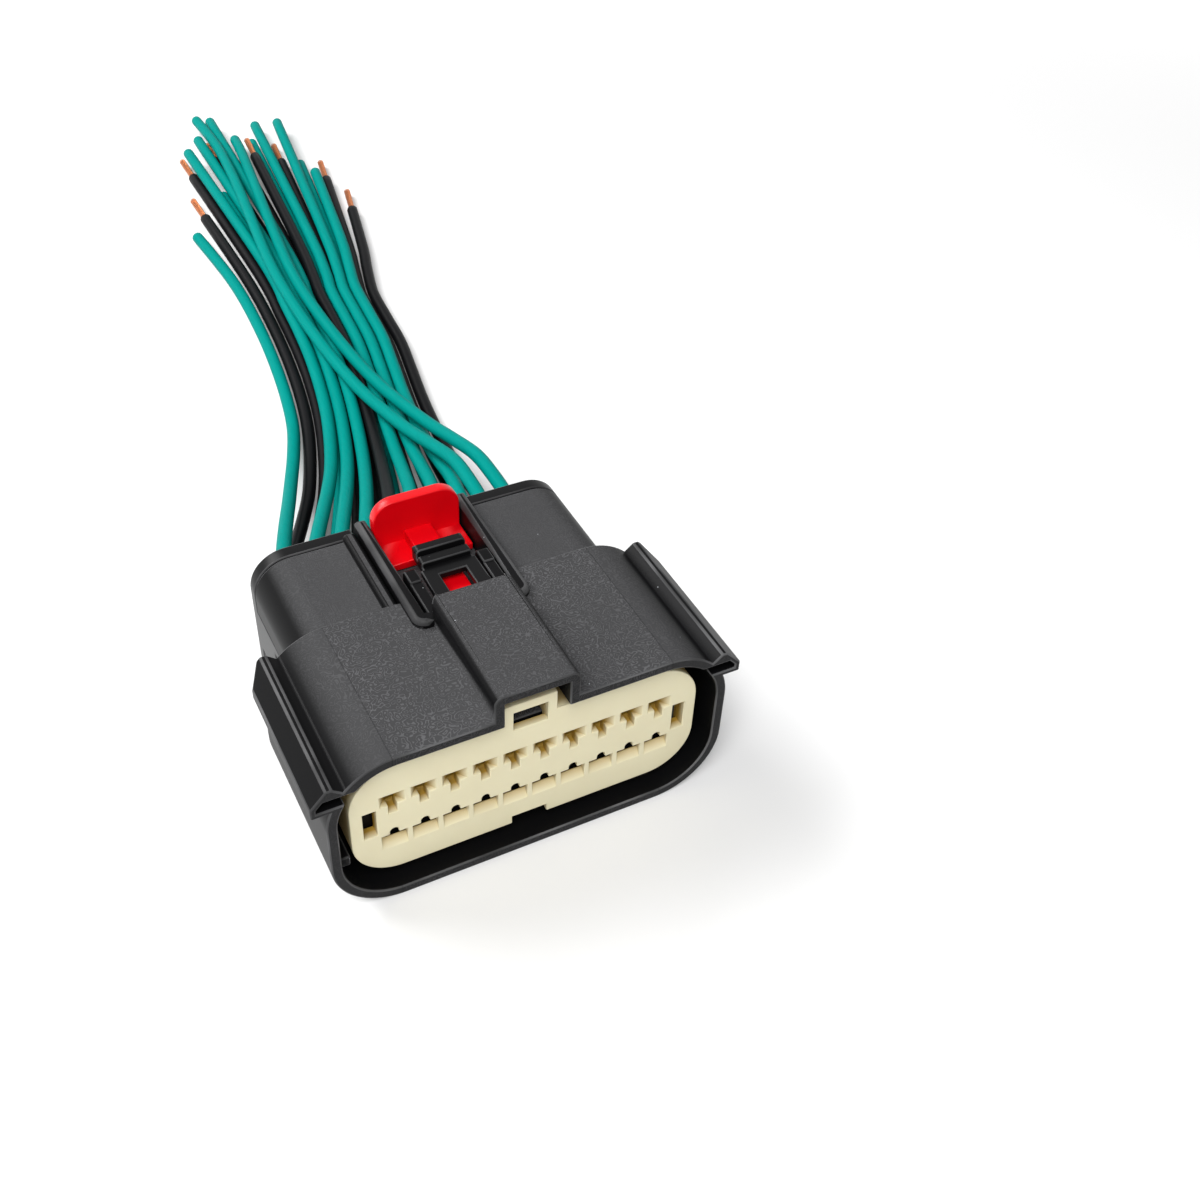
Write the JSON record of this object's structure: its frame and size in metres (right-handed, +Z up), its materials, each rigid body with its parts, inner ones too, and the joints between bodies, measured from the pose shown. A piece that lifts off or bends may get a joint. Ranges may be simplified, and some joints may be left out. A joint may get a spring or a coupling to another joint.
{
  "type": "prewired connector",
  "caption": "Rectangular sealed wire-to-wire connector half with two rows of contacts, a latch, a lock slider and cut wires lying behind it.",
  "frame": {"origin": "centre of the housing's underside", "axes": "+X along the contact rows, -Y out of the mating face, +Y along the wires, +Z up to the latch"},
  "size_m": [0.0588, 0.1891, 0.0261],
  "materials": {
    "black_pbt": "spark-eroded matt",
    "cream_pbt": "satin moulded",
    "red_pbt": "gloss moulded",
    "seal_silicone": "matt",
    "tinned_contact": "tin plated",
    "wire_green": "extruded satin",
    "wire_black": "extruded satin",
    "bare_copper": "bare stranded"
  },
  "bodies": {
    "housing": {"housing": "black_pbt", "ring_seal": "seal_silicone", "wire_seal": "seal_silicone", "rear_cover": "black_pbt", "bare_strands": "bare_copper", "terminal_01": "tinned_contact", "terminal_02": "tinned_contact", "terminal_03": "tinned_contact", "terminal_04": "tinned_contact", "terminal_05": "tinned_contact", "terminal_06": "tinned_contact", "terminal_07": "tinned_contact", "terminal_08": "tinned_contact", "terminal_09": "tinned_contact", "terminal_10": "tinned_contact", "terminal_11": "tinned_contact", "terminal_12": "tinned_contact", "terminal_13": "tinned_contact", "terminal_14": "tinned_contact", "terminal_15": "tinned_contact", "terminal_16": "tinned_contact", "terminal_17": "tinned_contact", "terminal_18": "tinned_contact", "terminal_19": "tinned_contact", "terminal_20": "tinned_contact", "wire_01": "wire_green", "wire_02": "wire_green", "wire_03": "wire_green", "wire_04": "wire_green", "wire_05": "wire_black", "wire_06": "wire_green", "wire_07": "wire_green", "wire_08": "wire_green", "wire_09": "wire_green", "wire_10": "wire_green", "wire_11": "wire_black", "wire_12": "wire_black", "wire_13": "wire_green", "wire_14": "wire_black", "wire_15": "wire_black", "wire_16": "wire_green", "wire_17": "wire_black", "wire_18": "wire_green", "wire_19": "wire_black", "wire_20": "wire_black"},
    "retainer": {"terminal_retainer": "cream_pbt"},
    "slider": {"lock_slider": "red_pbt"},
    "latch": {"latch_lever": "black_pbt"}
  },
  "joints": [
    {"name": "slider_slide", "type": "slide", "parent": "housing", "child": "slider", "axis": [0, -1, 0], "range_m": [0, 0.004]},
    {"name": "retainer_slide", "type": "slide", "parent": "housing", "child": "retainer", "axis": [0, -1, 0], "range_m": [0, 0.002]},
    {"name": "latch_press", "type": "hinge", "parent": "housing", "child": "latch", "pos_m": [0, 0.0006, 0.02285], "axis": [-1, 0, 0], "range_deg": [0, 4], "stiffness_Nm_per_rad": 0.02}
  ]
}
